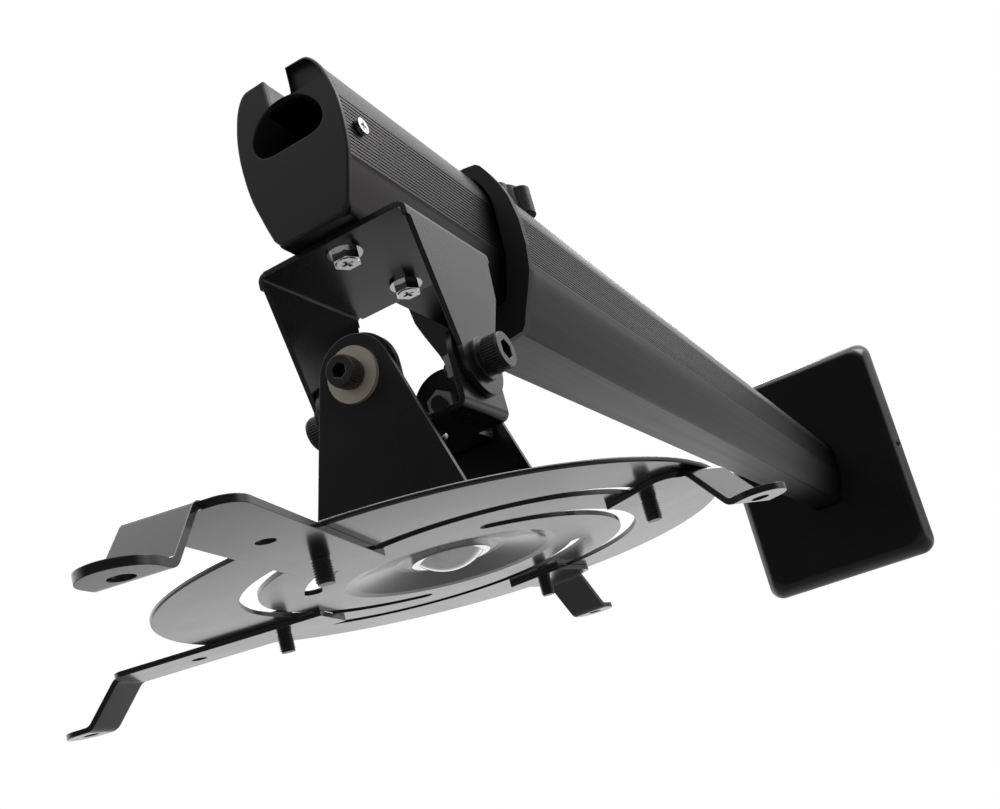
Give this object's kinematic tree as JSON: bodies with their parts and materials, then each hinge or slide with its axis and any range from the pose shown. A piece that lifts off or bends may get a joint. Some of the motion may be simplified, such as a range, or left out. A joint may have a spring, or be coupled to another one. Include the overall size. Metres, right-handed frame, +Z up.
{
  "type": "projector wall mount",
  "caption": "Telescopic wall arm with a cover, a two-axis tilting head and a slotted disc with jogged foot arms that carries a projector.",
  "frame": {"origin": "centre of the wall plate's back face on the arm's centre line", "axes": "+X to the right when facing the wall, +Y into the wall, +Z up; the head hangs out along -Y"},
  "size_m": [0.3508, 1.3121, 0.3661],
  "materials": {
    "painted_black": "semi-gloss black",
    "anodised": "dark satin",
    "gloss_plastic": "gloss black",
    "matte_plastic": "satin black",
    "chrome": "bright",
    "zinc": "zinc plated",
    "washer_steel": "plain",
    "black_oxide": "black oxide",
    "white_plastic": "natural",
    "grey_plastic": "satin"
  },
  "bodies": {
    "wall_arm": {"wall_plate": "painted_black", "arm_socket": "painted_black", "socket_screws": "zinc", "outer_tube": "anodised", "tube_screws": "zinc", "wall_cover": "gloss_plastic", "cover_screws": "black_oxide", "collar": "matte_plastic", "front_glide": "white_plastic", "clamp_bush": "zinc", "clamp_pad": "white_plastic"},
    "knob": {"lock_knob": "matte_plastic", "knob_stud": "zinc"},
    "slide_arm": {"inner_tube": "anodised", "end_cap": "matte_plastic", "cap_screws": "chrome", "rear_glide": "white_plastic", "yoke": "painted_black", "yoke_bolts": "chrome", "nut_plate": "zinc", "tilt_bolts": "black_oxide", "tilt_washers": "washer_steel", "tilt_friction": "grey_plastic"},
    "tilt_frame": {"cross_piece": "painted_black", "tilt_nuts": "zinc", "roll_nuts": "zinc"},
    "roll_frame": {"lower_bracket": "painted_black", "roll_bolts": "black_oxide", "roll_washers": "washer_steel", "roll_friction": "grey_plastic", "swivel_washer": "grey_plastic", "centre_bolt": "chrome", "centre_washer": "zinc", "centre_nut": "zinc"},
    "disc_body": {"disc": "painted_black"},
    "stud_1": {"arm_bolt_1": "black_oxide", "arm_washer_1": "zinc"},
    "foot_1": {"arm_1": "painted_black"},
    "stud_2": {"arm_bolt_2": "black_oxide", "arm_washer_2": "zinc"},
    "foot_2": {"arm_2": "painted_black"},
    "stud_3": {"arm_bolt_3": "black_oxide", "arm_washer_3": "zinc"},
    "foot_3": {"arm_3": "painted_black"},
    "stud_4": {"arm_bolt_4": "black_oxide", "arm_washer_4": "zinc"},
    "foot_4": {"arm_4": "painted_black"}
  },
  "joints": [
    {"name": "arm_extend", "type": "slide", "parent": "wall_arm", "child": "slide_arm", "axis": [0, -1, 0], "range_m": [-0.035, 0.3]},
    {"name": "knob_turn", "type": "hinge", "parent": "wall_arm", "child": "knob", "pos_m": [0, -0.935, 0.058], "axis": [0, 0, 1], "range_deg": [-120, 120]},
    {"name": "head_tilt", "type": "hinge", "parent": "slide_arm", "child": "tilt_frame", "pos_m": [0, -1.1, -0.097], "axis": [1, 0, 0], "range_deg": [-15, 15]},
    {"name": "head_roll", "type": "hinge", "parent": "tilt_frame", "child": "roll_frame", "pos_m": [0, -1.1, -0.097], "axis": [0, 1, 0], "range_deg": [-15, 15]},
    {"name": "disc_swivel", "type": "hinge", "parent": "roll_frame", "child": "disc_body", "pos_m": [0, -1.1, -0.173], "axis": [0, 0, 1], "continuous": true},
    {"name": "slot_slide_1", "type": "hinge", "parent": "disc_body", "child": "stud_1", "pos_m": [0.0032, -1.11761, -0.176], "axis": [0, 0, 1], "range_deg": [-25, 0]},
    {"name": "foot_swing_1", "type": "hinge", "parent": "stud_1", "child": "foot_1", "pos_m": [0.0032, -1.19201, -0.1783], "axis": [0, 0, 1], "range_deg": [-20, 20]},
    {"name": "slot_slide_2", "type": "hinge", "parent": "disc_body", "child": "stud_2", "pos_m": [-0.01761, -1.1032, -0.176], "axis": [0, 0, 1], "range_deg": [-25, 0]},
    {"name": "foot_swing_2", "type": "hinge", "parent": "stud_2", "child": "foot_2", "pos_m": [-0.09201, -1.1032, -0.1783], "axis": [0, 0, 1], "range_deg": [-20, 20]},
    {"name": "slot_slide_3", "type": "hinge", "parent": "disc_body", "child": "stud_3", "pos_m": [0.01761, -1.0968, -0.176], "axis": [0, 0, 1], "range_deg": [-25, 0]},
    {"name": "foot_swing_3", "type": "hinge", "parent": "stud_3", "child": "foot_3", "pos_m": [0.09201, -1.0968, -0.1783], "axis": [0, 0, 1], "range_deg": [-20, 20]},
    {"name": "slot_slide_4", "type": "hinge", "parent": "disc_body", "child": "stud_4", "pos_m": [-0.0032, -1.08239, -0.176], "axis": [0, 0, 1], "range_deg": [-25, 0]},
    {"name": "foot_swing_4", "type": "hinge", "parent": "stud_4", "child": "foot_4", "pos_m": [-0.0032, -1.00799, -0.1783], "axis": [0, 0, 1], "range_deg": [-20, 20]}
  ]
}
